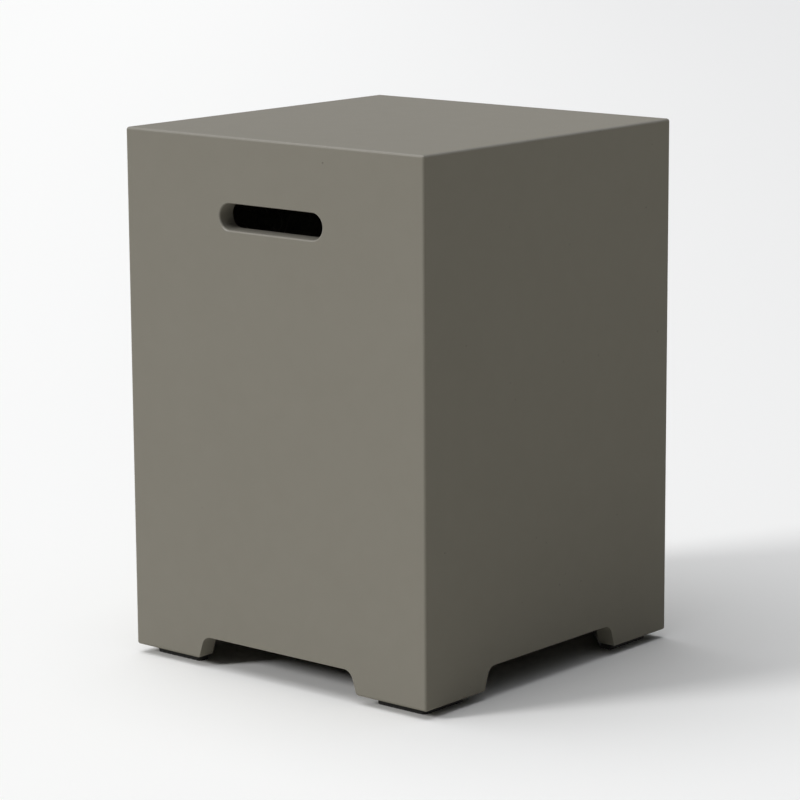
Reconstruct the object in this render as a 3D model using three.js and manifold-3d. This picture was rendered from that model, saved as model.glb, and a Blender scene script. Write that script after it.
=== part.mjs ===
// A cover table for a propane tank: a concrete box with no bottom, cast in one piece, which is lifted
// over the tank by two handle slots and stands on four corner legs with rubber pads under them.
// Millimetres, +Z up. The origin is on the floor under the middle of the table top, the front is -Y
// and the right side is +X.

import * as THREE from 'three';
import { RoundedBoxGeometry } from 'three/addons/geometries/RoundedBoxGeometry.js';
import { mergeVertices } from 'three/addons/utils/BufferGeometryUtils.js';
import Module from 'manifold-3d';

const wasm = await Module();
wasm.setup();

// Casting
const bodyWidth = 400;
const bodyDepth = 400;
const bodyHeight = 550;
const wall = 20;
const topThickness = 22;
const edgeRadius = 3;
const ceilingRadius = 12;

// Legs, and the arches between them
const legWidth = 91;
const legCornerRadius = 5;
const archHeight = 25;
const archLean = 8;
const archRadius = 12;

// Handle slots, one in the front wall and one in the back wall
const slotLength = 138;
const slotHeight = 27;
const slotDrop = 81;
const slotRimRadius = 2;

// Pads, set in from the leg's outer faces, its ends and its back
const padHeight = 9;
const padInset = 15;
const padEndMargin = 13;
const padBackMargin = 4;
const padCornerRadius = 5;
const padChamfer = 1;
const padWeb = 3.1;

// Screws that hold the pads, placed from the pad's outer edge and from its end
const screwFromEdge = 13;
const screwFromEnd = 20;
const screwRadius = 2.5;
const screwLength = 16;
const headRadius = 4.75;
const headHeight = 2.6;
const headRimHeight = 0.8;
const socketRadius = 1.7;
const socketDepth = 1.5;

// Washers under the screw heads
const washerRadius = 6.5;
const washerThickness = 1.2;

// Threaded inserts cast into the legs
const insertRadius = 4;
const insertLength = 12;
const insertGroove = 0.7;
const insertRib = 3;

// Clearance between pieces that touch, and how far a cut runs past what it cuts
const clearance = 0.3;
const overrun = 5;

// Facets: along a quarter turn of an edge, along a corner arc, and round a small turned piece
const edgeFacets = 3;
const arcFacets = 3;
const turnedSides = 16;

// The longest stretch of an edge that one rounded corner may take
const cornerReachShare = 0.45;

const concrete = new THREE.MeshStandardMaterial({ color: 0x8a867c, roughness: 0.85, metalness: 0 });
const rubber = new THREE.MeshStandardMaterial({ color: 0x1b1b1a, roughness: 0.8, metalness: 0 });
const steel = new THREE.MeshStandardMaterial({ color: 0xb4b6b8, roughness: 0.35, metalness: 1 });
const brass = new THREE.MeshStandardMaterial({ color: 0xb08f4f, roughness: 0.4, metalness: 1 });

const table = new THREE.Group();

function addPiece(name, geometry, material, position) {
  const mesh = new THREE.Mesh(geometry, material);
  mesh.name = name;
  mesh.position.copy(position);
  table.add(mesh);
}

// Closed meshes into solids and back

function toSolid(geometry) {
  const bare = new THREE.BufferGeometry();
  bare.setAttribute('position', geometry.getAttribute('position'));
  bare.setIndex(geometry.getIndex());
  const merged = mergeVertices(bare);
  const corners = merged.getIndex().array;
  const kept = [];
  for (let i = 0; i < corners.length; i += 3) {
    const [a, b, c] = corners.slice(i, i + 3);
    if (a !== b && b !== c && c !== a) {
      kept.push(a, b, c);
    }
  }
  return new wasm.Manifold(new wasm.Mesh({
    numProp: 3,
    vertProperties: new Float32Array(merged.getAttribute('position').array),
    triVerts: new Uint32Array(kept),
  }));
}

function toGeometry(solid) {
  const mesh = solid.getMesh();
  const geometry = new THREE.BufferGeometry();
  geometry.setAttribute('position', new THREE.BufferAttribute(mesh.vertProperties, 3));
  geometry.setIndex(new THREE.BufferAttribute(mesh.triVerts, 1));
  return geometry;
}

function cutAway(geometry, cutters) {
  const solid = cutters.reduce((left, cutter) => left.subtract(toSolid(cutter)), toSolid(geometry));
  return toGeometry(solid);
}

// A closed outline whose corners are [x, y, radius], each rounded with an arc where its radius isn't zero

function roundedOutline(corners) {
  const shape = new THREE.Shape();
  const points = corners.map(([x, y]) => new THREE.Vector2(x, y));
  corners.forEach(([, , radius], i) => {
    const corner = points[i];
    const before = points.at(i - 1).clone().sub(corner);
    const after = points[(i + 1) % points.length].clone().sub(corner);
    if (radius === 0) {
      if (i === 0) {
        shape.moveTo(corner.x, corner.y);
      } else {
        shape.lineTo(corner.x, corner.y);
      }
      return;
    }
    const room = cornerReachShare * Math.min(before.length(), after.length());
    before.normalize();
    after.normalize();
    const halfAngle = Math.acos(before.dot(after)) / 2;
    const reach = Math.min(radius / Math.tan(halfAngle), room);
    const arcRadius = reach * Math.tan(halfAngle);
    const towards = before.clone().add(after).normalize();
    const centre = corner.clone().addScaledVector(towards, arcRadius / Math.sin(halfAngle));
    const start = corner.clone().addScaledVector(before, reach).sub(centre);
    const end = corner.clone().addScaledVector(after, reach).sub(centre);
    const clockwise = before.cross(after) > 0;
    shape.absarc(centre.x, centre.y, arcRadius, start.angle(), end.angle(), clockwise);
  });
  shape.closePath();
  return shape;
}

// A solid through rings of equally many points, from the first ring to the last, flat at both ends.
// Each ring is {points, height}, and goes anticlockwise seen from above.

function loft(rings) {
  const count = rings[0].points.length;
  const positions = rings.flatMap(({ points, height }) => points.flatMap(({ x, y }) => [x, y, height]));
  const indices = [];
  for (let ring = 1; ring < rings.length; ring += 1) {
    for (let i = 0; i < count; i += 1) {
      const next = (i + 1) % count;
      const low = (ring - 1) * count;
      const high = ring * count;
      indices.push(low + i, low + next, high + next, low + i, high + next, high + i);
    }
  }
  const top = (rings.length - 1) * count;
  for (const [a, b, c] of THREE.ShapeUtils.triangulateShape(rings[0].points, [])) {
    indices.push(a, c, b, top + a, top + b, top + c);
  }
  const geometry = new THREE.BufferGeometry();
  geometry.setAttribute('position', new THREE.Float32BufferAttribute(positions, 3));
  geometry.setIndex(indices);
  return geometry;
}

// A turned solid about the Z axis, from a profile of [radius, height] points

function turned(profile) {
  const points = profile.map(([radius, height]) => new THREE.Vector2(radius, height));
  return new THREE.LatheGeometry(points, turnedSides).rotateX(Math.PI / 2);
}

function cylinder(radius, from, to, sides = turnedSides) {
  const geometry = new THREE.CylinderGeometry(radius, radius, to - from, sides);
  return geometry.rotateX(Math.PI / 2).translate(0, 0, (from + to) / 2);
}

// The hollow under the top: straight walls with a slanting post in each corner as wide as the leg, and
// a rounded edge under the top slab

const hollowHeight = bodyHeight - topThickness;
const postShare = 2 - Math.SQRT2;

function hollowRing(inset, height) {
  const x = bodyWidth / 2 - wall - inset;
  const y = bodyDepth / 2 - wall - inset;
  const post = legWidth - wall - inset * postShare;
  const points = [
    [x, y - post], [x - post, y], [post - x, y], [-x, y - post],
    [-x, post - y], [post - x, -y], [x - post, -y], [x, post - y],
  ].map(([px, py]) => new THREE.Vector2(px, py));
  return { points, height };
}

function hollow() {
  const rings = [hollowRing(0, -overrun)];
  for (let i = 0; i <= arcFacets; i += 1) {
    const angle = (i / arcFacets) * (Math.PI / 2);
    const inset = ceilingRadius * (1 - Math.cos(angle));
    rings.push(hollowRing(inset, hollowHeight - ceilingRadius * (1 - Math.sin(angle))));
  }
  return loft(rings);
}

// The cut between two legs of one wall, standing up from its own XY plane and running through both
// opposite walls. Its sides lean in towards the top and its lower corners round off the legs' feet.

function arch(wallWidth, through) {
  const foot = wallWidth / 2 - legWidth;
  const head = foot - archLean;
  const underLeg = foot + legWidth / 2;
  const outline = roundedOutline([
    [-underLeg, -overrun, 0],
    [underLeg, -overrun, 0],
    [underLeg, 0, 0],
    [foot, 0, legCornerRadius],
    [head, archHeight, archRadius],
    [-head, archHeight, archRadius],
    [-foot, 0, legCornerRadius],
    [-underLeg, 0, 0],
  ]);
  const depth = through + 2 * overrun;
  const options = { depth, bevelEnabled: false, curveSegments: arcFacets };
  const cutter = new THREE.ExtrudeGeometry(outline, options);
  return cutter.translate(0, 0, -depth / 2).rotateX(Math.PI / 2);
}

// The cut for one handle slot, from the outer face at height zero down through the wall, with a rolled
// rim on the outer face

function slotRing(grow, height) {
  const radius = slotHeight / 2 + grow;
  const reach = slotLength / 2 - slotHeight / 2;
  const shape = new THREE.Shape();
  shape.absarc(reach, 0, radius, -Math.PI / 2, Math.PI / 2, false);
  shape.absarc(-reach, 0, radius, Math.PI / 2, 3 * Math.PI / 2, false);
  return { points: shape.getPoints(2 * arcFacets), height };
}

function handleSlot() {
  const rings = [slotRing(0, -wall - overrun)];
  for (let i = 0; i <= edgeFacets; i += 1) {
    const angle = (i / edgeFacets) * (Math.PI / 2);
    rings.push(slotRing(slotRimRadius * (1 - Math.cos(angle)), -slotRimRadius * (1 - Math.sin(angle))));
  }
  rings.push(slotRing(slotRimRadius, overrun));
  return loft(rings);
}

// Legs and their screws. A place on a leg is told by its distances from the two outer faces.

const legs = [
  { name: 'front_left', x: -1, y: -1 },
  { name: 'front_right', x: 1, y: -1 },
  { name: 'back_right', x: 1, y: 1 },
  { name: 'back_left', x: -1, y: 1 },
];

const padEnd = legWidth - padEndMargin;
const screwAlong = padEnd - screwFromEnd;
const screwAcross = padInset + screwFromEdge;
const screwPlaces = [
  { name: 'a', fromSide: screwAlong, fromFace: screwAcross },
  { name: 'b', fromSide: screwAcross, fromFace: screwAlong },
];

function onLeg(leg, fromSide, fromFace) {
  return new THREE.Vector2(leg.x * (bodyWidth / 2 - fromSide), leg.y * (bodyDepth / 2 - fromFace));
}

// The casting

function coverShell() {
  const block = new RoundedBoxGeometry(bodyWidth, bodyDepth, bodyHeight, edgeFacets, edgeRadius);
  block.translate(0, 0, bodyHeight / 2);
  const slotCentre = bodyHeight - slotDrop;
  const frontSlot = handleSlot().rotateX(Math.PI / 2).translate(0, -bodyDepth / 2, slotCentre);
  const backSlot = handleSlot().rotateX(-Math.PI / 2).translate(0, bodyDepth / 2, slotCentre);
  const sockets = legs.flatMap((leg) => screwPlaces.map(({ fromSide, fromFace }) => {
    const { x, y } = onLeg(leg, fromSide, fromFace);
    return cylinder(insertRadius + clearance, -overrun, insertLength + clearance).translate(x, y, 0);
  }));
  return cutAway(block, [
    hollow(),
    arch(bodyWidth, bodyDepth),
    arch(bodyDepth, bodyWidth).rotateZ(Math.PI / 2),
    frontSlot,
    backSlot,
    ...sockets,
  ]);
}

// A pad: the leg's five-sided footprint, set in on every side, with a stepped hole for each screw

const padTop = padHeight - clearance;
const padRecess = padTop - padWeb;

function padOutline(leg) {
  const backLine = legWidth + wall - padBackMargin * Math.SQRT2;
  const padShort = backLine - padEnd;
  const places = [
    [padInset, padInset], [padEnd, padInset], [padEnd, padShort], [padShort, padEnd], [padInset, padEnd],
  ];
  const corners = places.map(([fromSide, fromFace]) => {
    const { x, y } = onLeg(leg, fromSide, fromFace);
    return [x, y, padCornerRadius];
  });
  return roundedOutline(leg.x * leg.y > 0 ? corners : corners.reverse());
}

function footPad(leg) {
  const block = new THREE.ExtrudeGeometry(padOutline(leg), {
    depth: padTop - 2 * padChamfer,
    bevelThickness: padChamfer,
    bevelSize: padChamfer,
    bevelOffset: -padChamfer,
    bevelSegments: 1,
    curveSegments: arcFacets,
  });
  block.translate(0, 0, padChamfer);
  const holes = screwPlaces.flatMap(({ fromSide, fromFace }) => {
    const { x, y } = onLeg(leg, fromSide, fromFace);
    return [
      cylinder(washerRadius + clearance, -overrun, padRecess).translate(x, y, 0),
      cylinder(screwRadius + clearance, -overrun, padTop + overrun).translate(x, y, 0),
    ];
  });
  return cutAway(block, holes);
}

// The fixings, each standing on its own lowest point

function washer() {
  const bore = screwRadius + clearance;
  return turned([
    [bore, 0], [washerRadius, 0], [washerRadius, washerThickness], [bore, washerThickness], [bore, 0],
  ]);
}

function screw() {
  const domeRadius = headRadius * Math.SQRT1_2;
  const domeHeight = (headHeight - headRimHeight) * (1 - Math.SQRT1_2);
  const body = turned([
    [0, 0],
    [socketRadius + clearance, 0],
    [domeRadius, domeHeight],
    [headRadius, headHeight - headRimHeight],
    [headRadius, headHeight],
    [screwRadius, headHeight],
    [screwRadius, headHeight + screwLength - screwRadius / 2],
    [screwRadius / 2, headHeight + screwLength],
    [0, headHeight + screwLength],
  ]);
  return cutAway(body, [cylinder(socketRadius, -overrun, socketDepth, 6)]);
}

function insert() {
  const bore = screwRadius + clearance;
  const groove = insertRadius - insertGroove;
  return turned([
    [bore, 0],
    [insertRadius, 0],
    [insertRadius, insertRib],
    [groove, insertRib + insertGroove],
    [groove, insertLength - insertRib - insertGroove],
    [insertRadius, insertLength - insertRib],
    [insertRadius, insertLength],
    [bore, insertLength],
    [bore, 0],
  ]);
}

// Assembly, from the floor up

const washerBase = padRecess - clearance - washerThickness;
const headBase = washerBase - clearance - headHeight;

addPiece('cover_shell', coverShell(), concrete, new THREE.Vector3(0, 0, padHeight));

for (const leg of legs) {
  addPiece(`foot_pad_${leg.name}`, footPad(leg), rubber, new THREE.Vector3());
  for (const { name, fromSide, fromFace } of screwPlaces) {
    const { x, y } = onLeg(leg, fromSide, fromFace);
    const place = `${leg.name}_${name}`;
    addPiece(`pad_washer_${place}`, washer(), steel, new THREE.Vector3(x, y, washerBase));
    addPiece(`pad_screw_${place}`, screw(), steel, new THREE.Vector3(x, y, headBase));
    addPiece(`leg_insert_${place}`, insert(), brass, new THREE.Vector3(x, y, padHeight));
  }
}

export default table;
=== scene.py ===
import math
from functools import reduce

import bmesh
import bpy
from bpy.props import FloatProperty, FloatVectorProperty, IntProperty, PointerProperty
from mathutils import Matrix, Vector


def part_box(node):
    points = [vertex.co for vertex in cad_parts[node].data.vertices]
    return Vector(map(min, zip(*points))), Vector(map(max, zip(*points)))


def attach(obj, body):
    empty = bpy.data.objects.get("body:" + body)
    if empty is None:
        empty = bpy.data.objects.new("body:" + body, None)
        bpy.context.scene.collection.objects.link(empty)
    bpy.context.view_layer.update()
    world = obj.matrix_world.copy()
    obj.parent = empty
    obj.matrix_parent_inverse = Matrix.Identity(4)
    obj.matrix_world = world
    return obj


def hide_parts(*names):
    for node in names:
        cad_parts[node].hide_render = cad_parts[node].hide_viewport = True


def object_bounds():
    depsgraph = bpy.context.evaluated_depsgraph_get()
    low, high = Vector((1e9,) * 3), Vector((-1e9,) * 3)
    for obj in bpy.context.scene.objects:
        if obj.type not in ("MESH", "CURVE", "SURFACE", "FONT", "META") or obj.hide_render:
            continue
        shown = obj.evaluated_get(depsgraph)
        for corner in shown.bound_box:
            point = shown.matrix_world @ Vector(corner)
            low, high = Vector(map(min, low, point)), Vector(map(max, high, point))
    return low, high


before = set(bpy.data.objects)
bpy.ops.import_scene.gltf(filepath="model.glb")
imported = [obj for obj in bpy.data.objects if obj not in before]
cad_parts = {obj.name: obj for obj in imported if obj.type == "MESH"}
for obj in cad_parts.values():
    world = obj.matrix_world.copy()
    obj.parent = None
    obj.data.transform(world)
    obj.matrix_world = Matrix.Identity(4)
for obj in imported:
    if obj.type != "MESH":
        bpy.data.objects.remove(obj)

bl_info = {
    "name": "Tank Cover Table",
    "version": (1, 0, 0),
    "blender": (4, 5, 0),
    "location": "View3D > Sidebar > Tank Cover",
    "description": "A concrete side table that stands over a propane tank, on rubber pads",
    "category": "Object",
}

# Metres, +Z up, with the floor at zero. The front wall, with a handle slot, faces -Y.

CAD_LOW, CAD_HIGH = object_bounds()
SHELL_LOW, SHELL_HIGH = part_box("cover_shell")
CORNERS = {
    "front_left": (-1, -1),
    "front_right": (1, -1),
    "back_right": (1, 1),
    "back_left": (-1, 1),
}
FIXINGS = [f"{corner}_{side}" for corner in CORNERS for side in "ab"]

# Facets along each rounding of the casting. A slot's end is a half turn.

EDGE_FACETS = 6
SLOT_RIM_FACETS = 6
SLOT_END_FACETS = 16
CEILING_FACETS = 8
POST_FACETS = 4
ARCH_FACETS = 8

# Facets along each rounding of a pad, and along the dome of a screw's head

PAD_CORNER_FACETS = 8
PAD_EDGE_FACETS = 4
DOME_FACETS = 10

# A groove's cutter one depth below the floor and one depth above it, as shares of the groove's width

GROOVE_LOW_SHARE = 1.3
GROOVE_HIGH_SHARE = 0.7

# The flat on a screw's head as a share of the hexagon's radius, and the chamfer at its tip as a share
# of the shank's radius

HEAD_FLAT_SHARE = 1.18
TIP_CHAMFER_SHARE = 1 / 3


# Sizes and colours

def length(name, default, description):
    return FloatProperty(
        name=name, description=description, default=default, min=0.0, subtype="DISTANCE", unit="LENGTH"
    )


def angle(name, degrees, description):
    return FloatProperty(
        name=name, description=description, default=math.radians(degrees), subtype="ANGLE", unit="ROTATION"
    )


def strength(name, default, description):
    return FloatProperty(name=name, description=description, default=default, min=0.0)


def colour(name, default, description):
    return FloatVectorProperty(
        name=name, description=description, default=default, size=3, min=0.0, max=1.0, subtype="COLOR"
    )


class CastingSizes(bpy.types.PropertyGroup):
    wall: length("Wall", 0.020, "Thickness of the walls")
    top: length("Top", 0.022, "Thickness of the table top")
    edge_radius: length("Edge radius", 0.003, "Rounding of the outer edges")
    ceiling_radius: length("Ceiling radius", 0.012, "Rounding where the walls meet the top slab inside")
    post_radius: length("Post radius", 0.006, "Rounding where a wall meets a corner post inside")
    leg_width: length("Leg width", 0.091, "Width of a leg where it meets its pad")
    leg_corner: length("Leg corner radius", 0.005, "Rounding of a leg's foot towards the arch")
    arch_height: length("Arch height", 0.025, "Height of the arch between two legs")
    arch_lean: length("Arch lean", 0.008, "How far the sides of an arch lean in towards its head")
    arch_radius: length("Arch radius", 0.012, "Rounding of the upper corners of an arch")
    slot_length: length("Slot length", 0.138, "Length of a handle slot")
    slot_height: length("Slot height", 0.027, "Height of a handle slot")
    slot_drop: length("Slot drop", 0.081, "From the top down to the middle of a handle slot")
    slot_rim: length("Slot rim", 0.002, "Rounding of a handle slot's outer rim")
    arris: length("Arris", 0.0007, "Rounding of the casting's small sharp edges")
    socket_radius: length("Socket radius", 0.0043, "Radius of the hole round a threaded insert")
    socket_depth: length("Socket depth", 0.0123, "Depth of the hole for a threaded insert")


class PadSizes(bpy.types.PropertyGroup):
    short_side: length("Short side", 0.0123, "Length of a pad's two sides next to its slanting side")
    corner_radius: length("Corner radius", 0.005, "Rounding of a pad's corners, seen from above")
    edge_radius: length("Edge radius", 0.001, "Rounding of a pad's upper and lower edges")
    recess_radius: length("Recess radius", 0.0068, "Radius of the recess for the washer")
    recess_height: length("Recess height", 0.0056, "Height of the recess above the floor")
    bore_radius: length("Bore radius", 0.0028, "Radius of the screw hole")
    groove_pitch: length("Groove pitch", 0.005, "Distance between two grooves of the tread")
    groove_width: length("Groove width", 0.0016, "Width of a groove of the tread")
    groove_depth: length("Groove depth", 0.0008, "Depth of a groove of the tread")


class FixingSizes(bpy.types.PropertyGroup):
    shank_radius: length("Shank radius", 0.0025, "Radius of the screw")
    shank_length: length("Shank length", 0.016, "Length of the screw under its head")
    head_radius: length("Head radius", 0.00475, "Radius of the button head")
    head_height: length("Head height", 0.0026, "Height of the button head")
    head_rim: length("Head rim", 0.0008, "Height of the head's straight rim")
    hex_radius: length("Hex radius", 0.0017, "Radius of the hexagon socket over its corners")
    hex_depth: length("Hex depth", 0.0015, "Depth of the hexagon socket")
    screw_edge: length("Screw edge", 0.00012, "Rounding of the screw's edges")
    washer_radius: length("Washer radius", 0.0065, "Outer radius of the washer")
    washer_bore: length("Washer bore", 0.0028, "Radius of the washer's hole")
    washer_thickness: length("Washer thickness", 0.0012, "Thickness of the washer")
    washer_edge: length("Washer edge", 0.0002, "Rounding of the washer's edges")
    turned_sides: IntProperty(
        name="Turned sides", description="Facets round a screw or washer", default=48, min=12, max=128
    )


class Finishes(bpy.types.PropertyGroup):
    paste: colour("Paste", (0.207, 0.195, 0.166), "Concrete, smooth from the mould")
    paste_pale: colour("Pale paste", (0.221, 0.209, 0.180), "Paler clouds in the concrete")
    paste_deep: colour("Deep paste", (0.193, 0.181, 0.152), "Deeper clouds in the concrete")
    back_face: colour("Back face", (0.174, 0.164, 0.142), "Concrete inside, rough from the roller")
    fibre: colour("Fibre", (0.36, 0.35, 0.32), "Glass fibres that show inside")
    rubber: colour("Rubber", (0.013, 0.013, 0.012), "Rubber of the pads")
    rubber_dust: colour("Dust", (0.045, 0.043, 0.039), "Dust that sticks to the rubber")
    steel: colour("Steel", (0.48, 0.49, 0.50), "Stainless steel of the screws")
    brass: colour("Brass", (0.50, 0.36, 0.13), "Brass of the threaded inserts")
    brass_dull: colour("Dull brass", (0.34, 0.23, 0.09), "Brass where it has tarnished")


class Stage(bpy.types.PropertyGroup):
    azimuth: angle("Camera azimuth", 40.44, "Turn of the camera round the table")
    elevation: angle("Camera elevation", 11.29, "Angle of the camera above the horizon")
    roll: angle("Camera roll", -0.35, "Turn of the camera about its own axis")
    aim: FloatVectorProperty(
        name="Aim", description="Point in the middle of the picture",
        default=(0.0017, -0.0043, 0.2671), size=3, subtype="TRANSLATION", unit="LENGTH",
    )
    distance: length("Camera distance", 3.4084, "From the camera to the point that it aims at")
    lens: FloatProperty(
        name="Lens", description="Focal length of the camera", default=145.97, min=1.0, unit="CAMERA"
    )
    floor_size: length("Floor size", 60.0, "Width of the floor")
    # Painted light: the floor and the backdrop are painted from the lit colour towards the far one, as the
    # light falls off.
    floor_painted_lit: colour("Lit floor", (1.0, 0.997, 0.986), "The floor on the side of the light")
    floor_painted_dim: colour("Far floor", (0.842, 0.84, 0.838), "The floor away from the light")
    floor_bounce: colour("Floor bounce", (0.75, 0.735, 0.66), "The floor as it lights the table from below")
    key_strength: strength("Key light", 1.70, "Strength of the main light")
    key_azimuth: angle("Key azimuth", -30.0, "Where the light stands, counted as for the camera")
    key_elevation: angle("Key elevation", 27.0, "Angle of the light above the horizon")
    key_spread: angle("Key spread", 15.0, "Angle that the light fills, which softens the shadow")
    fill_strength: strength("Fill light", 1.50, "Strength of the second light, softer and from overhead")
    fill_azimuth: angle("Fill azimuth", -60.0, "Where the second light stands, counted as for the camera")
    fill_elevation: angle("Fill elevation", 75.0, "Angle of the second light above the horizon")
    fill_spread: angle("Fill spread", 60.0, "Angle that the second light fills")
    light_distance: length("Light distance", 2.0, "From the lamps to the middle of the table")
    sky: colour("Sky", (0.94, 0.965, 1.0), "Light from straight above, which fades towards the horizon")
    sky_strength: strength("Sky strength", 0.68, "Strength of the light from straight above")
    sky_focus: strength("Sky focus", 3.0, "How fast the sky fades away from straight above")


class TankCover(bpy.types.PropertyGroup):
    casting: PointerProperty(type=CastingSizes, name="Casting", description="Sizes of the casting")
    pads: PointerProperty(type=PadSizes, name="Pads", description="Sizes of the pads")
    fixings: PointerProperty(type=FixingSizes, name="Fixings", description="Sizes of the fixings")
    finishes: PointerProperty(type=Finishes, name="Finishes", description="Colours")
    stage: PointerProperty(type=Stage, name="Stage", description="Camera, light and floor")


# Shader maths

class Wire:
    """One output of a shader node. A sum or product of wires and numbers adds the nodes for it."""

    def __init__(self, socket):
        self.socket = socket

    def add(self, kind, settings=None, inputs=None, output=0):
        """Any other node of the same material: settings first, then the values or wires of its sockets."""
        tree = self.socket.id_data
        node = tree.nodes.new(kind)
        for name, value in (settings or {}).items():
            setattr(node, name, value)
        for name, value in (inputs or {}).items():
            if isinstance(value, Wire):
                tree.links.new(value.socket, node.inputs[name])
            else:
                node.inputs[name].default_value = value
        return Wire(node.outputs[output])

    def maths(self, operation, left, right=0.0):
        """One sum, as a Vector Math node where a side is a vector or a colour."""
        if any(isinstance(side, Wire) and side.socket.type in ("VECTOR", "RGBA") for side in (left, right)):
            left, right = (side if isinstance(side, Wire) else (side,) * 3 for side in (left, right))
            return self.add("ShaderNodeVectorMath", {"operation": operation}, {0: left, 1: right})
        return self.add("ShaderNodeMath", {"operation": operation}, {0: left, 1: right})

    def __add__(self, other):
        return self.maths("ADD", self, other)

    __radd__ = __add__

    def __sub__(self, other):
        return self.maths("SUBTRACT", self, other)

    def __rsub__(self, other):
        return self.maths("SUBTRACT", other, self)

    def __mul__(self, other):
        return self.maths("MULTIPLY", self, other)

    __rmul__ = __mul__

    def __abs__(self):
        return self.maths("ABSOLUTE", self)

    def least(self, other):
        return self.maths("MINIMUM", self, other)

    def most(self, other):
        return self.maths("MAXIMUM", self, other)

    def power(self, exponent):
        return self.maths("POWER", self, exponent)

    def size(self):
        """The length of a vector."""
        return self.add("ShaderNodeVectorMath", {"operation": "LENGTH"}, {0: self}, "Value")

    def rise(self, start, end):
        """0 where the value is at start or before it, 1 at end or after it, and smooth between them."""
        settings = {"interpolation_type": "SMOOTHSTEP"}
        return self.add("ShaderNodeMapRange", settings, {0: self, 1: start, 2: end})

    def blend(self, low, high):
        """The colour low where the value is 0, and high where it is 1."""
        low, high = (side if isinstance(side, Wire) else (*side, 1.0) for side in (low, high))
        settings = {"data_type": "RGBA"}
        return self.add("ShaderNodeMix", settings, {"Factor": self, "A": low, "B": high}, "Result")

    def outputs(self):
        """All the outputs of the same node, by name."""
        return {output.name: Wire(output) for output in self.socket.node.outputs}

    def parts(self):
        """The x, y and z of a vector, or the red, green and blue of a colour."""
        return self.add("ShaderNodeSeparateXYZ", {}, {0: self}).outputs().values()

    def noise(self, scale, detail=2.0, roughness=0.5):
        inputs = {"Vector": self, "Scale": scale, "Detail": detail, "Roughness": roughness}
        return self.add("ShaderNodeTexNoise", {}, inputs)


def new_material(name):
    """A material, its shader node and its point in the object's own space, as a wire."""
    material = bpy.data.materials.new(name)
    material.use_nodes = True
    shader = material.node_tree.nodes["Principled BSDF"]
    place = material.node_tree.nodes.new("ShaderNodeTexCoord")
    return material, shader, Wire(place.outputs["Object"])


def feed(shader, **wires):
    """Links wires to the shader's sockets, whose names are written with _ for a space."""
    for name, wire in wires.items():
        shader.id_data.links.new(wire.socket, shader.inputs[name.replace("_", " ")])


def bump(height):
    """Tilts the surface by a height in metres."""
    return height.add("ShaderNodeBump", {}, {"Strength": 1.0, "Distance": 1.0, "Height": height}, "Normal")


def darkened(tint, share):
    """A colour with only a share of its light."""
    return tuple(share * part for part in tint)


# Concrete. Hands have polished the rounding of the top's edges, up to shares of its radius, and the rims
# of the slots, and there the colour is also painted paler as a painted highlight. The rough inside starts
# just before the inner faces and just above the legs' undersides.

POLISH_AND_HIGHLIGHT_SHARES = (0.45, 0.85)
RIM_FADE = 0.0004
INNER_FACE_FADE = (-0.0008, -0.0003)
UNDERSIDE_FADE = (0.0002, 0.0008)

# Air holes. A cell of their pattern has one if its lot is above the first number, and the hole grows
# with the lot. The largest radius and the soft border are in cells.

HOLE_LOTS = (0.93, 1.0)
HOLE_RADIUS = 0.075
HOLE_BORDER = 0.022

# Glass fibres run along the lines where a noise is a half, and each shift of the noise gives other
# lines. Their width is how far the noise may be from a half.

FIBRE_SHIFTS = (0.0, 3.0, 7.0)
FIBRE_WIDTH = 0.007


def from_faces(point):
    """How deep a point lies behind the nearest side wall's outer face, and below the top."""
    x, y, z = point.parts()
    return (SHELL_HIGH.x - abs(x)).least(SHELL_HIGH.y - abs(y)), SHELL_HIGH.z - z


def polish_and_highlight_places(point, sizes):
    """1 on the edges of the top and on the rims of the handle slots, which hands rub smoother and where the
    colour is painted paler as a painted highlight.
    """
    from_side, below = from_faces(point)
    edge = 1 - from_side.most(below).rise(*(share * sizes.edge_radius for share in POLISH_AND_HIGHLIGHT_SHARES))
    x, y, z = point.parts()
    straight = (sizes.slot_length - sizes.slot_height) / 2
    from_slot = point.add("ShaderNodeCombineXYZ", {}, {
        "X": (abs(x) - straight).most(0.0), "Y": z - (SHELL_HIGH.z - sizes.slot_drop),
    }).size()
    rim_edge = sizes.slot_height / 2 + sizes.slot_rim
    near_slot = 1 - from_slot.rise(rim_edge - RIM_FADE, rim_edge)
    near_face = 1 - (SHELL_HIGH.y - abs(y)).rise(sizes.slot_rim, sizes.slot_rim + 2 * RIM_FADE)
    return edge.most(near_slot * near_face)


def inner_faces(point, sizes):
    """1 on the faces of the hollow, and 0 on the outer faces and under the legs."""
    from_side, below = from_faces(point)
    _, _, z = point.parts()
    behind_wall = from_side.rise(*(sizes.wall + fade for fade in INNER_FACE_FADE))
    under_top = below.rise(*(sizes.top + fade for fade in INNER_FACE_FADE))
    return behind_wall * under_top * (z - SHELL_LOW.z).rise(*UNDERSIDE_FADE)


def air_holes(point):
    """1 in the few small holes that air left in the cast face, which the concrete dents and darkens with
    painted shade.
    """
    cells = point.add("ShaderNodeTexVoronoi", {}, {"Vector": point, "Scale": 70.0})
    lot, _, _ = cells.outputs()["Color"].parts()
    return (lot.rise(*HOLE_LOTS) * HOLE_RADIUS - cells).rise(0.0, HOLE_BORDER)


def glass_fibres(point):
    """1 on the thin broken lines of the fibres."""
    lines = [abs((point + shift).noise(30.0, detail=0.0) - 0.5) for shift in FIBRE_SHIFTS]
    broken = point.noise(75.0).rise(0.50, 0.56)
    return reduce(Wire.most, (1 - line.rise(0.0, FIBRE_WIDTH) for line in lines)) * broken


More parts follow.
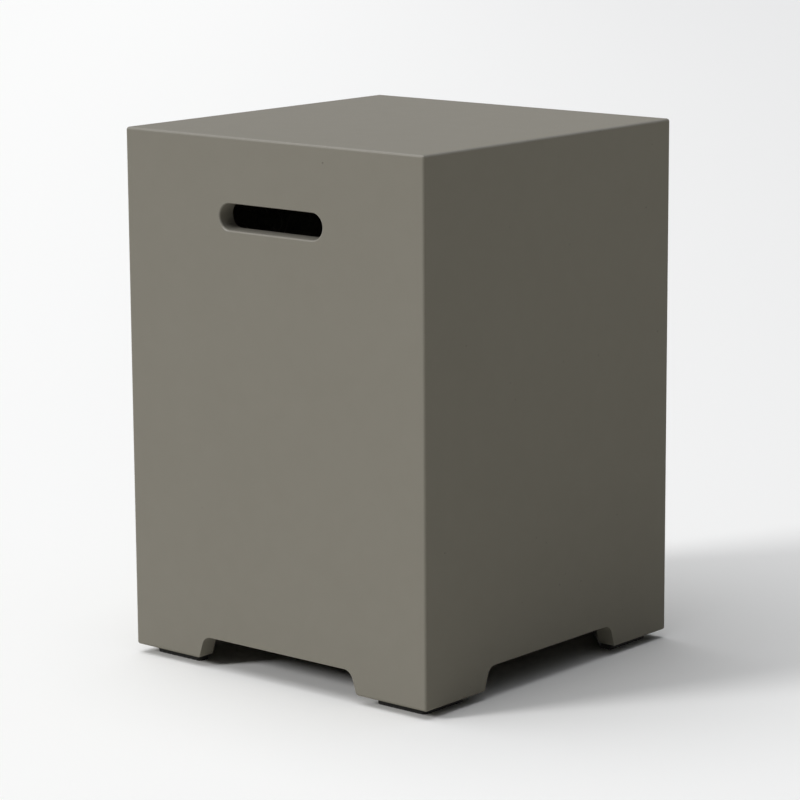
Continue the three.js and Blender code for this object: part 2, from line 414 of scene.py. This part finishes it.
def concrete_material(sizes, finishes):
    """Fine cast concrete: faint clouds, sand and a few air holes darkened with painted shade, smoother where
    hands rub it and painted paler there as a painted highlight, and rough inside with glass fibres, with
    painted shade in the hollows of the roller's marks. Heights in the bumps are in metres."""
    material, shader, point = new_material("concrete")
    polish_and_highlight = polish_and_highlight_places(point, sizes)
    inside = inner_faces(point, sizes)
    hole = air_holes(point)
    fibre = glass_fibres(point)
    clouds = point.noise(11.0, detail=4.0, roughness=0.55)
    drift = point.noise(46.0, detail=3.0)
    sand = point.noise(1500.0, roughness=0.6)
    grit = point.noise(520.0)
    rolled = point.noise(130.0, detail=3.0, roughness=0.6)

    # Painted highlight: the tone is raised where hands rub, on the top's edges and the slots' rims.
    tone = (
        0.5
        + 0.55 * (clouds - 0.5)
        + 0.35 * (drift - 0.5)
        + 0.8 * (sand - 0.5)
        + 0.55 * polish_and_highlight
    )
    paste = tone.blend(tuple(finishes.paste_deep), tuple(finishes.paste_pale))
    # Painted shade: the air holes are darkened towards a share of the paste's colour.
    paste = (hole * 0.35).blend(paste, darkened(finishes.paste, 0.35))
    back = fibre.blend(tuple(finishes.back_face), tuple(finishes.fibre))
    # Painted shade: the low places of the roller's marks, where the bump is lowest, are darkened to a share
    # of the back face's colour.
    back = (rolled.rise(0.60, 0.35) * 0.3).blend(back, darkened(finishes.back_face, 0.7))
    outer = 0.00006 * grit + 0.00003 * sand + 0.00025 * drift - 0.0006 * hole
    inner = 0.0016 * rolled + 0.0004 * grit + 0.0003 * fibre
    feed(
        shader,
        Base_Color=inside.blend(paste, back),
        Roughness=0.80 + 0.10 * clouds + 0.06 * inside - 0.56 * polish_and_highlight,
        Normal=bump(outer * (1 - inside) + inner * inside),
    )
    shader.inputs["Specular IOR Level"].default_value = 0.32
    return material


# The other materials

def rubber_material(finishes):
    """Moulded black rubber, finely pebbled, with a little dust on it."""
    material, shader, point = new_material("rubber")
    pebble = point.add("ShaderNodeTexVoronoi", {"feature": "SMOOTH_F1"}, {"Vector": point, "Scale": 1400.0})
    patches = point.noise(55.0, detail=4.0, roughness=0.6)
    specks = point.noise(900.0, detail=3.0, roughness=0.7)
    dust = patches.rise(0.45, 0.75) * 0.5 + specks.rise(0.62, 0.78) * 0.4
    feed(
        shader,
        Base_Color=dust.blend(tuple(finishes.rubber), tuple(finishes.rubber_dust)),
        Roughness=0.66 + 0.22 * patches,
        Normal=bump(0.00006 * pebble + 0.00008 * patches),
    )
    shader.inputs["Specular IOR Level"].default_value = 0.35
    return material


def steel_material(finishes):
    """Stainless steel with fine rings from the lathe, about the piece's own axis."""
    material, shader, point = new_material("steel")
    x, y, z = point.parts()
    radius = point.add("ShaderNodeCombineXYZ", {}, {"X": x, "Y": y}).size()
    along = point.add("ShaderNodeCombineXYZ", {}, {"X": radius, "Y": z})
    rings = along.noise(7000.0, detail=1.0, roughness=0.4)
    smudge = point.noise(350.0, detail=3.0, roughness=0.6)
    feed(
        shader,
        Base_Color=(0.4 * rings + 0.6 * smudge).blend(darkened(finishes.steel, 0.82), tuple(finishes.steel)),
        Roughness=0.24 + 0.14 * rings + 0.12 * smudge,
        Normal=bump(0.000006 * rings),
    )
    shader.inputs["Metallic"].default_value = 1.0
    return material


def brass_material(finishes):
    """Turned brass, a little tarnished."""
    material, shader, point = new_material("brass")
    _, _, z = point.parts()
    rings = point.add("ShaderNodeCombineXYZ", {}, {"Z": z}).noise(5200.0, detail=1.0, roughness=0.4)
    tarnish = point.noise(260.0, detail=4.0, roughness=0.6).rise(0.35, 0.75)
    feed(
        shader,
        Base_Color=tarnish.blend(tuple(finishes.brass), tuple(finishes.brass_dull)),
        Roughness=0.28 + 0.25 * tarnish,
        Normal=bump(0.000008 * rings),
    )
    shader.inputs["Metallic"].default_value = 1.0
    return material


# Floor and light. The floor's two colours blend from left to right as the camera sees them, a painted falloff
# of the light: on the floor over metres from the table's middle, and beyond it over the sine of the angle to
# the side.

FLOOR_FADE = (-1.2, 1.8)
BACKDROP_FADE = (-0.1, 0.1)


def painted_falloff_colour(x, y, fade, stage):
    """The painted falloff of the light: the lit floor's colour on the side of the light, and the far floor's
    on the other side.
    """
    across = x * math.cos(stage.azimuth) + y * math.sin(stage.azimuth)
    return across.rise(*fade).blend(tuple(stage.floor_painted_lit), tuple(stage.floor_painted_dim))


def seen_directly(tree):
    """1 for what the camera, a shiny surface or a clear one sees, and 0 for light on its way."""
    path = tree.nodes.new("ShaderNodeLightPath")
    rays = ("Is Camera Ray", "Is Glossy Ray", "Is Transmission Ray")
    return reduce(Wire.most, (Wire(path.outputs[name]) for name in rays))


def floor_material(stage):
    """The pale floor: plain to look at, painted a little brighter towards the light as painted light, and
    greyer as a reflector.
    """
    material, shader, point = new_material("floor")
    x, y, _ = point.parts()
    pale = painted_falloff_colour(x, y, FLOOR_FADE, stage)
    feed(shader, Base_Color=seen_directly(shader.id_data).blend(tuple(stage.floor_bounce), pale))
    shader.inputs["Roughness"].default_value = 1.0
    shader.inputs["Specular IOR Level"].default_value = 0.0
    return material


def light_world(stage):
    """Soft light, mostly from above. The camera and shiny surfaces see the floor's colours instead, with
    their painted falloff of the light.
    """
    world = bpy.data.worlds.new("studio")
    world.use_nodes = True
    bpy.context.scene.world = world
    background = world.node_tree.nodes["Background"]
    x, y, z = Wire(world.node_tree.nodes.new("ShaderNodeTexCoord").outputs["Generated"]).parts()
    overhead = z.most(0.0).power(stage.sky_focus)
    light = overhead.blend((0.0, 0.0, 0.0), tuple(stage.sky)) * stage.sky_strength
    backdrop = painted_falloff_colour(x, y, BACKDROP_FADE, stage)
    feed(background, Color=seen_directly(world.node_tree).blend(light, backdrop))
    background.inputs["Strength"].default_value = 1.0


def looking_at(aim, azimuth, elevation, roll, distance):
    """The place of a camera or lamp that looks at a point from that direction and distance."""
    turn = Matrix.Rotation(azimuth, 4, "Z") @ Matrix.Rotation(math.pi / 2 - elevation, 4, "X")
    back_off = Matrix.Translation((0.0, 0.0, distance))
    return Matrix.Translation(aim) @ turn @ Matrix.Rotation(roll, 4, "Z") @ back_off


def add_sun(name, stage):
    """A sun that shines at the middle of the table, with the stage's values of that name."""
    lamp = bpy.data.lights.new(name, "SUN")
    lamp.energy = getattr(stage, f"{name}_strength")
    lamp.angle = getattr(stage, f"{name}_spread")
    azimuth, elevation = (getattr(stage, f"{name}_{value}") for value in ("azimuth", "elevation"))
    holder = bpy.data.objects.new(name, lamp)
    bpy.context.scene.collection.objects.link(holder)
    middle = (CAD_LOW + CAD_HIGH) / 2
    holder.matrix_world = looking_at(middle, azimuth, elevation, 0.0, stage.light_distance)


# Mesh code

def add_object(name, mesh):
    """An object in the scene with this bmesh as its mesh."""
    data = bpy.data.meshes.new(name)
    mesh.to_mesh(data)
    mesh.free()
    made = bpy.data.objects.new(name, data)
    bpy.context.scene.collection.objects.link(made)
    return made


def middle_of(node):
    """The middle of a CAD node's box."""
    low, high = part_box(node)
    return (low + high) / 2


def quarter_turn(facets):
    """The angles from zero to a right angle."""
    return [step / facets * math.pi / 2 for step in range(facets + 1)]


def rounded(corners, facets):
    """The points of an outline whose corners are (x, y, radius)."""
    points = []
    for i, (x, y, radius) in enumerate(corners):
        corner = Vector((x, y))
        if radius == 0:
            points.append(corner)
            continue
        before = (Vector(corners[i - 1][:2]) - corner).normalized()
        after = (Vector(corners[(i + 1) % len(corners)][:2]) - corner).normalized()
        half = before.angle(after) / 2
        centre = corner + (before + after).normalized() * (radius / math.sin(half))
        start = corner + before * (radius / math.tan(half)) - centre
        turn = start.angle_signed(corner + after * (radius / math.tan(half)) - centre)
        for step in range(facets + 1):
            points.append(centre + Matrix.Rotation(-turn * step / facets, 2) @ start)
    return points


def loft(rings):
    """A closed solid through rings of equally many points, flat at both ends."""
    mesh = bmesh.new()
    layers = [[mesh.verts.new(point) for point in ring] for ring in rings]
    for low, high in zip(layers, layers[1:]):
        for i, corner in enumerate(low):
            after = (i + 1) % len(low)
            mesh.faces.new((corner, low[after], high[after], high[i]))
    mesh.faces.new(list(reversed(layers[0])))
    mesh.faces.new(layers[-1])
    bmesh.ops.recalc_face_normals(mesh, faces=mesh.faces)
    return mesh


def prism(points, low, high):
    """An outline drawn up from one height to another."""
    return loft([[(x, y, height) for x, y in points] for height in (low, high)])


def cylinder(x, y, radius, low, high, sides=48):
    """A round bar that stands on a place, from one height to another."""
    turns = [2 * math.pi * i / sides for i in range(sides)]
    return prism([(x + radius * math.cos(t), y + radius * math.sin(t)) for t in turns], low, high)


def turned(profile, sides):
    """A solid about the Z axis from (radius, height) points, closed on the axis or back to its start."""
    mesh = bmesh.new()
    corners = [mesh.verts.new((radius, 0.0, height)) for radius, height in profile]
    edges = [mesh.edges.new(pair) for pair in zip(corners, corners[1:])]
    bmesh.ops.spin(
        mesh, geom=corners + edges, cent=(0, 0, 0), axis=(0, 0, 1), angle=2 * math.pi, steps=sides
    )
    bmesh.ops.remove_doubles(mesh, verts=mesh.verts, dist=1e-7)
    bmesh.ops.recalc_face_normals(mesh, faces=mesh.faces)
    return mesh


def rounded_block(low, high, radius, facets):
    """A box between two corners, with all its edges rounded."""
    mesh = bmesh.new()
    bmesh.ops.create_cube(mesh, size=1.0)
    bmesh.ops.scale(mesh, vec=high - low, verts=mesh.verts)
    bmesh.ops.translate(mesh, vec=(low + high) / 2, verts=mesh.verts)
    bmesh.ops.bevel(
        mesh, geom=mesh.edges[:], offset=radius, offset_type="OFFSET", segments=facets,
        profile=0.5, affect="EDGES",
    )
    return mesh


def together(meshes):
    """Several separate solids as one mesh."""
    whole = bmesh.new()
    for mesh in meshes:
        data = bpy.data.meshes.new("part")
        mesh.to_mesh(data)
        mesh.free()
        whole.from_mesh(data)
        bpy.data.meshes.remove(data)
    return whole


def settle(target):
    """Applies the target's modifiers."""
    shaped = target.evaluated_get(bpy.context.evaluated_depsgraph_get())
    data = bpy.data.meshes.new_from_object(shaped)
    data.name = target.name
    old = target.data
    target.modifiers.clear()
    target.data = data
    bpy.data.meshes.remove(old)


def cut(target, *cutters):
    """Cuts each mesh out of the target with an exact Boolean."""
    tools = []
    for i, mesh in enumerate(cutters):
        tool = add_object(f"{target.name}_cut_{i}", mesh)
        modifier = target.modifiers.new(f"cut_{i}", "BOOLEAN")
        modifier.operation = "DIFFERENCE"
        modifier.solver = "EXACT"
        modifier.object = tool
        tools.append(tool)
    settle(target)
    for tool in tools:
        data = tool.data
        bpy.data.objects.remove(tool)
        bpy.data.meshes.remove(data)


def add_bevel(target, radius, facets, sharper_than):
    """Rounds the edges where two faces meet at more than an angle."""
    bevel = target.modifiers.new("rounding", "BEVEL")
    bevel.width = radius
    bevel.segments = facets
    bevel.limit_method = "ANGLE"
    bevel.angle_limit = sharper_than
    return bevel


def finish_edges(target, radius, facets, sharper_than):
    """Rounds the sharp edges that the cuts left, then weights the shading by the size of the faces."""
    bevel = add_bevel(target, radius, facets, sharper_than)
    bevel.use_clamp_overlap = True
    bevel.miter_outer = "MITER_ARC"
    settle(target)
    target.data.shade_smooth()
    weight = target.modifiers.new("shading", "WEIGHTED_NORMAL")
    weight.mode = "FACE_AREA"
    weight.weight = 100
    weight.keep_sharp = True
    settle(target)


def dress(piece, material, slot, *nodes):
    """Gives a piece its material and its place on the table, and hides the CAD nodes it stands for. The slot
    is not used.
    """
    piece.data.materials.clear()
    piece.data.materials.append(material)
    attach(piece, "root")
    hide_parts(*nodes)


# The casting

def hollow(sizes, overrun):
    """The room for the tank: straight walls, a slanting post in each corner, and a coved ceiling."""
    ceiling = SHELL_HIGH.z - sizes.top

    def ring(inset, height):
        x = SHELL_HIGH.x - sizes.wall - inset
        y = SHELL_HIGH.y - sizes.wall - inset
        post = sizes.leg_width - sizes.wall - inset * (2 - math.sqrt(2))
        places = [
            (x, y - post), (x - post, y), (post - x, y), (-x, y - post),
            (-x, post - y), (post - x, -y), (x - post, -y), (x, post - y),
        ]
        outline = rounded([(px, py, sizes.post_radius) for px, py in places], POST_FACETS)
        return [(px, py, height) for px, py in outline]

    rings = [ring(0, SHELL_LOW.z - overrun)]
    for turn in quarter_turn(CEILING_FACETS):
        inset = sizes.ceiling_radius * (1 - math.cos(turn))
        rings.append(ring(inset, ceiling - sizes.ceiling_radius * (1 - math.sin(turn))))
    return loft(rings)


def arch(sizes, half_width, half_depth, overrun):
    """The cut between two legs, through the front and back walls."""
    foot = half_width - sizes.leg_width
    head = foot - sizes.arch_lean
    under = foot + sizes.leg_width / 2
    outline = rounded([
        (-under, -overrun, 0),
        (under, -overrun, 0),
        (under, 0, 0),
        (foot, 0, sizes.leg_corner),
        (head, sizes.arch_height, sizes.arch_radius),
        (-head, sizes.arch_height, sizes.arch_radius),
        (-foot, 0, sizes.leg_corner),
        (-under, 0, 0),
    ], ARCH_FACETS)
    reach = half_depth + overrun
    return loft([[(x, y, SHELL_LOW.z + z) for x, z in outline] for y in (-reach, reach)])


def handle_slot(sizes, front, overrun):
    """The cut for one handle slot, with a rolled rim on the outer face. Front is -1, back is 1."""
    height = SHELL_HIGH.z - sizes.slot_drop
    reach = (sizes.slot_length - sizes.slot_height) / 2

    def ring(grow, depth):
        radius = sizes.slot_height / 2 + grow
        points = []
        for side in (1, -1):
            for step in range(SLOT_END_FACETS + 1):
                turn = math.pi * (step / SLOT_END_FACETS - 0.5)
                points.append((
                    side * (reach + radius * math.cos(turn)),
                    front * (SHELL_HIGH.y - depth),
                    height + side * radius * math.sin(turn),
                ))
        return points

    rings = [ring(0, sizes.wall + overrun)]
    for turn in quarter_turn(SLOT_RIM_FACETS):
        rings.append(ring(sizes.slot_rim * (1 - math.cos(turn)), sizes.slot_rim * (1 - math.sin(turn))))
    rings.append(ring(sizes.slot_rim, -overrun))
    return loft(rings)


def insert_hole(sizes, fixing, overrun):
    """The hole in a leg for one threaded insert."""
    x, y, _ = middle_of(f"leg_insert_{fixing}")
    return cylinder(x, y, sizes.socket_radius, SHELL_LOW.z - overrun, SHELL_LOW.z + sizes.socket_depth)


class TANKCOVER_OT_add_casting(bpy.types.Operator):
    """Builds the concrete casting: the top, the four walls and the legs in one piece"""

    bl_idname = "tank_cover.add_casting"
    bl_label = "Add Casting"

    def execute(self, context):
        cover = context.scene.tank_cover
        sizes = cover.casting
        overrun = sizes.wall / 2
        block = rounded_block(SHELL_LOW, SHELL_HIGH, sizes.edge_radius, EDGE_FACETS)
        casting = add_object("casting", block)
        arch_across = arch(sizes, SHELL_HIGH.x, SHELL_HIGH.y, overrun)
        arch_along = arch(sizes, SHELL_HIGH.y, SHELL_HIGH.x, overrun)
        bmesh.ops.rotate(arch_along, matrix=Matrix.Rotation(math.pi / 2, 3, "Z"), verts=arch_along.verts)
        holes = [handle_slot(sizes, side, overrun) for side in (-1, 1)]
        holes += [insert_hole(sizes, fixing, overrun) for fixing in FIXINGS]
        cut(casting, hollow(sizes, overrun), arch_across, arch_along, together(holes))
        finish_edges(casting, sizes.arris, facets=2, sharper_than=math.radians(32))
        dress(casting, concrete_material(sizes, cover.finishes), "concrete", "cover_shell")
        return {"FINISHED"}


# The pads

def pad_grooves(sizes, corner, along, size):
    """The tread under a pad: straight grooves from edge to edge, across the line to the table's middle."""
    depth = sizes.groove_depth
    reach = size * math.sqrt(2)
    across = Vector((-along.y, along.x)) * reach
    wide = along * (sizes.groove_width / 2 * GROOVE_LOW_SHARE)
    narrow = along * (sizes.groove_width / 2 * GROOVE_HIGH_SHARE)
    grooves = []
    for i in range(1, int(reach / sizes.groove_pitch)):
        middle = corner + along * (i * sizes.groove_pitch)
        rings = []
        for end in (middle - across, middle + across):
            low = [(*(end - wide), -depth), (*(end + wide), -depth)]
            high = [(*(end + narrow), depth), (*(end - narrow), depth)]
            rings.append(low + high)
        grooves.append(loft(rings))
    return together(grooves)


class TANKCOVER_OT_add_pads(bpy.types.Operator):
    """Builds the rubber pad under each leg, with a tread and a stepped hole for each screw"""

    bl_idname = "tank_cover.add_pads"
    bl_label = "Add Pads"

    def execute(self, context):
        cover = context.scene.tank_cover
        sizes = cover.pads
        material = rubber_material(cover.finishes)
        for corner, (side_x, side_y) in CORNERS.items():
            low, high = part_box(f"foot_pad_{corner}")
            size = high.x - low.x
            outer = Vector((
                side_x * max(abs(low.x), abs(high.x)),
                side_y * max(abs(low.y), abs(high.y)),
            ))
            places = [
                (0, 0), (size, 0), (size, sizes.short_side), (sizes.short_side, size), (0, size),
            ]
            outline = rounded([
                (outer.x - side_x * x, outer.y - side_y * y, sizes.corner_radius) for x, y in places
            ], PAD_CORNER_FACETS)
            pad = add_object(f"pad_{corner}", prism(outline, low.z, high.z))
            add_bevel(pad, sizes.edge_radius, PAD_EDGE_FACETS, sharper_than=math.radians(60))
            middles = [middle_of(f"pad_washer_{corner}_{side}") for side in "ab"]
            under = -high.z
            recesses = [
                cylinder(x, y, sizes.recess_radius, under, sizes.recess_height) for x, y, _ in middles
            ]
            bores = [cylinder(x, y, sizes.bore_radius, under, 2 * high.z) for x, y, _ in middles]
            inward = Vector((-side_x, -side_y)).normalized()
            cut(pad, together(recesses), together(bores), pad_grooves(sizes, outer, inward, size))
            finish_edges(pad, sizes.groove_depth / 4, facets=1, sharper_than=math.radians(50))
            dress(pad, material, "rubber", f"foot_pad_{corner}")
        return {"FINISHED"}


# The fixings

def place_at(piece, node):
    """Moves a piece, whose origin is its lowest point, to where the CAD node stands."""
    low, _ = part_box(node)
    x, y, _ = middle_of(node)
    piece.location = (x, y, low.z)


def screw_profile(sizes):
    """Half the outline of a screw, from the middle of its domed head up to its tip."""
    dome = sizes.head_height - sizes.head_rim
    flat = sizes.hex_radius * HEAD_FLAT_SHARE
    reach = sizes.head_radius - flat
    tip = sizes.head_height + sizes.shank_length
    chamfer = sizes.shank_radius * TIP_CHAMFER_SHARE
    return [
        (0.0, 0.0),
        *((flat + reach * math.sin(turn), dome * (1 - math.cos(turn))) for turn in quarter_turn(DOME_FACETS)),
        (sizes.head_radius, sizes.head_height),
        (sizes.shank_radius, sizes.head_height),
        (sizes.shank_radius, tip - chamfer),
        (sizes.shank_radius - chamfer, tip),
        (0.0, tip),
    ]


class TANKCOVER_OT_add_screws(bpy.types.Operator):
    """Builds the button-head screws that hold the pads"""

    bl_idname = "tank_cover.add_screws"
    bl_label = "Add Screws"

    def execute(self, context):
        cover = context.scene.tank_cover
        sizes = cover.fixings
        material = steel_material(cover.finishes)
        for fixing in FIXINGS:
            screw = add_object(f"screw_{fixing}", turned(screw_profile(sizes), sizes.turned_sides))
            cut(screw, cylinder(0, 0, sizes.hex_radius, -sizes.hex_depth, sizes.hex_depth, sides=6))
            finish_edges(screw, sizes.screw_edge, facets=2, sharper_than=math.radians(40))
            place_at(screw, f"pad_screw_{fixing}")
            dress(screw, material, "steel", f"pad_screw_{fixing}")
        return {"FINISHED"}


class TANKCOVER_OT_add_washers(bpy.types.Operator):
    """Builds the steel washers in the pads' recesses"""

    bl_idname = "tank_cover.add_washers"
    bl_label = "Add Washers"

    def execute(self, context):
        sizes = context.scene.tank_cover.fixings
        profile = [
            (sizes.washer_bore, 0.0),
            (sizes.washer_radius, 0.0),
            (sizes.washer_radius, sizes.washer_thickness),
            (sizes.washer_bore, sizes.washer_thickness),
            (sizes.washer_bore, 0.0),
        ]
        # The plain steel that comes with model.glb, and not the turned steel of the screws
        material = bpy.data.materials["steel"]
        for fixing in FIXINGS:
            washer = add_object(f"washer_{fixing}", turned(profile, sizes.turned_sides))
            finish_edges(washer, sizes.washer_edge, facets=3, sharper_than=math.radians(40))
            place_at(washer, f"pad_washer_{fixing}")
            dress(washer, material, "steel", f"pad_washer_{fixing}")
        return {"FINISHED"}


class TANKCOVER_OT_finish_inserts(bpy.types.Operator):
    """Gives the threaded inserts in the legs their brass"""

    bl_idname = "tank_cover.finish_inserts"
    bl_label = "Finish Inserts"

    def execute(self, context):
        material = brass_material(context.scene.tank_cover.finishes)
        for fixing in FIXINGS:
            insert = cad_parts[f"leg_insert_{fixing}"]
            insert.data.materials.clear()
            insert.data.materials.append(material)
        return {"FINISHED"}


# The stage

class TANKCOVER_OT_set_stage(bpy.types.Operator):
    """Sets up the floor, the light and the camera"""

    bl_idname = "tank_cover.set_stage"
    bl_label = "Set Stage"

    def execute(self, context):
        scene = context.scene
        stage = scene.tank_cover.stage
        half = stage.floor_size / 2
        mesh = bmesh.new()
        corners = ((-half, -half), (half, -half), (half, half), (-half, half))
        mesh.faces.new([mesh.verts.new((x, y, 0)) for x, y in corners])
        floor = add_object("floor", mesh)
        floor.data.materials.append(floor_material(stage))

        light_world(stage)
        add_sun("key", stage)
        add_sun("fill", stage)

        lens = bpy.data.cameras.new("camera")
        lens.lens = stage.lens
        lens.clip_end = stage.floor_size
        camera = bpy.data.objects.new("camera", lens)
        place = (stage.azimuth, stage.elevation, stage.roll, stage.distance)
        camera.matrix_world = looking_at(Vector(stage.aim), *place)
        scene.collection.objects.link(camera)
        scene.camera = camera
        scene.view_settings.view_transform = "Standard"
        return {"FINISHED"}


class TANKCOVER_PT_sidebar(bpy.types.Panel):
    """Lists the steps in order, and then the sizes and colours"""

    bl_label = "Tank Cover"
    bl_idname = "TANKCOVER_PT_sidebar"
    bl_space_type = "VIEW_3D"
    bl_region_type = "UI"
    bl_category = "Tank Cover"

    def draw(self, context):
        for operator in OPERATORS:
            self.layout.operator(operator.bl_idname)
        cover = context.scene.tank_cover
        for name in ("casting", "pads", "fixings", "finishes", "stage"):
            group = getattr(cover, name)
            box = self.layout.box()
            box.label(text=name.capitalize())
            for field in group.bl_rna.properties:
                if field.identifier not in ("rna_type", "name"):
                    box.prop(group, field.identifier)


OPERATORS = (
    TANKCOVER_OT_add_casting,
    TANKCOVER_OT_add_pads,
    TANKCOVER_OT_add_screws,
    TANKCOVER_OT_add_washers,
    TANKCOVER_OT_finish_inserts,
    TANKCOVER_OT_set_stage,
)
CLASSES = (
    CastingSizes, PadSizes, FixingSizes, Finishes, Stage, TankCover, *OPERATORS, TANKCOVER_PT_sidebar,
)


def register():
    for each in CLASSES:
        bpy.utils.register_class(each)
    bpy.types.Scene.tank_cover = PointerProperty(
        type=TankCover, name="Tank cover", description="Sizes and colours of the tank cover table"
    )


def unregister():
    del bpy.types.Scene.tank_cover
    for each in reversed(CLASSES):
        bpy.utils.unregister_class(each)


def main():
    register()
    bpy.ops.tank_cover.add_casting()
    bpy.ops.tank_cover.add_pads()
    bpy.ops.tank_cover.add_screws()
    bpy.ops.tank_cover.add_washers()
    bpy.ops.tank_cover.finish_inserts()
    bpy.ops.tank_cover.set_stage()


if __name__ == "__main__":
    main()
